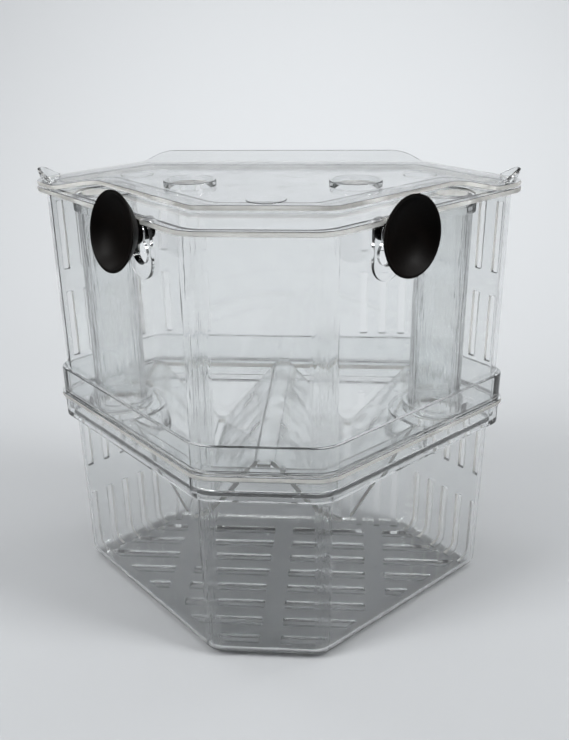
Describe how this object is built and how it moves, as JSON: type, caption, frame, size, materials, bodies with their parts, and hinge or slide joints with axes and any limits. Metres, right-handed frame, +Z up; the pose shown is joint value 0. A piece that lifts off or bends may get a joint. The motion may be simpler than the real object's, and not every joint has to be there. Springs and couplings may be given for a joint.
{
  "type": "fish breeding box",
  "caption": "Clear tiered fish breeding box for a tank corner: slotted fry chamber, tray, W-shaped separator, upper box with feed tubes, lift-off lid and suction cups.",
  "frame": {"origin": "middle of the box's width and depth, at the underside of its floor", "axes": "+Z up, -Y towards the narrow front between the two suction cups, +X towards the viewer's right"},
  "size_m": [0.1292, 0.0782, 0.1249],
  "materials": {
    "lower_box": "gloss",
    "tray": "gloss",
    "separator": "gloss",
    "upper_box": "gloss",
    "lid": "gloss",
    "suction_cup_left": "satin",
    "suction_cup_right": "satin"
  },
  "bodies": {
    "lower_box": {"lower_box": "lower_box"},
    "tray": {"tray": "tray"},
    "separator": {"separator": "separator"},
    "upper_box": {"upper_box": "upper_box"},
    "lid": {"lid": "lid"},
    "suction_cup_left": {"suction_cup_left": "suction_cup_left"},
    "suction_cup_right": {"suction_cup_right": "suction_cup_right"}
  },
  "joints": [
    {"name": "tray_lift", "type": "slide", "parent": "lower_box", "child": "tray", "axis": [0, 0, 1], "range_m": [0, 0.03]},
    {"name": "separator_lift", "type": "slide", "parent": "tray", "child": "separator", "axis": [0, 0, 1], "range_m": [0, 0.03]},
    {"name": "upper_box_lift", "type": "slide", "parent": "tray", "child": "upper_box", "axis": [0, 0, 1], "range_m": [0, 0.03]},
    {"name": "lid_lift", "type": "slide", "parent": "upper_box", "child": "lid", "axis": [0, 0, 1], "range_m": [0, 0.03]},
    {"name": "cup_left_slide", "type": "slide", "parent": "upper_box", "child": "suction_cup_left", "axis": [0, 0, -1], "range_m": [0, 0.0048]},
    {"name": "cup_right_slide", "type": "slide", "parent": "upper_box", "child": "suction_cup_right", "axis": [0, 0, -1], "range_m": [0, 0.0048]}
  ]
}
